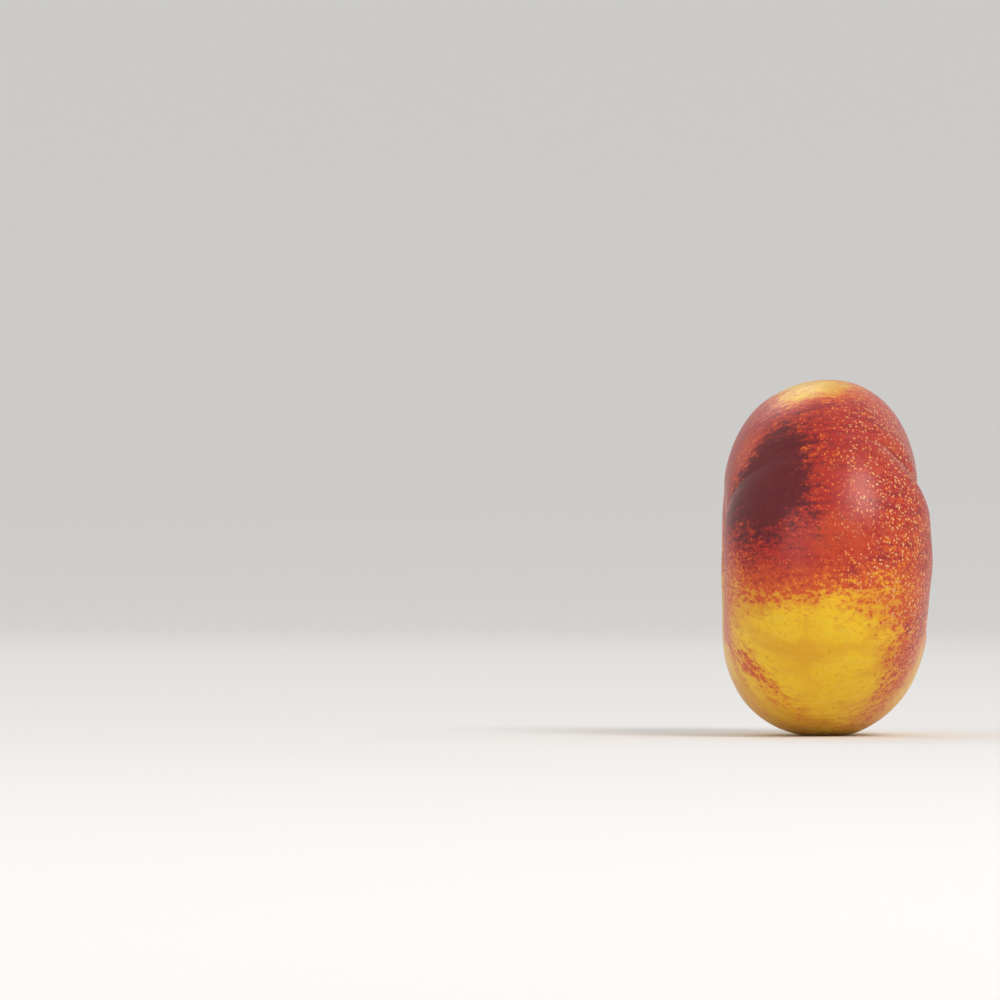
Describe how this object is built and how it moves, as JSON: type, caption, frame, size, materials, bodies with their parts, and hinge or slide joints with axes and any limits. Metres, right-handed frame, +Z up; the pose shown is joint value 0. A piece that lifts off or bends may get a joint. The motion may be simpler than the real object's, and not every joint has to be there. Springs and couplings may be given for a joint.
{
  "type": "nectarine",
  "caption": "Whole flat nectarine standing on its rim, with a deep stalk cavity, a suture groove and a shallow basin at the flower scar.",
  "frame": {"origin": "on the surface that the fruit stands on, under the middle of the fruit", "axes": "+Z up; +X along the fruit's own axis towards the stalk cavity, -X towards the flower scar; -Y is the side that the picture shows"},
  "size_m": [0.044, 0.0744, 0.0757],
  "materials": {
    "skin": "satin"
  },
  "bodies": {
    "root": {"nectarine": "skin"}
  },
  "joints": []
}
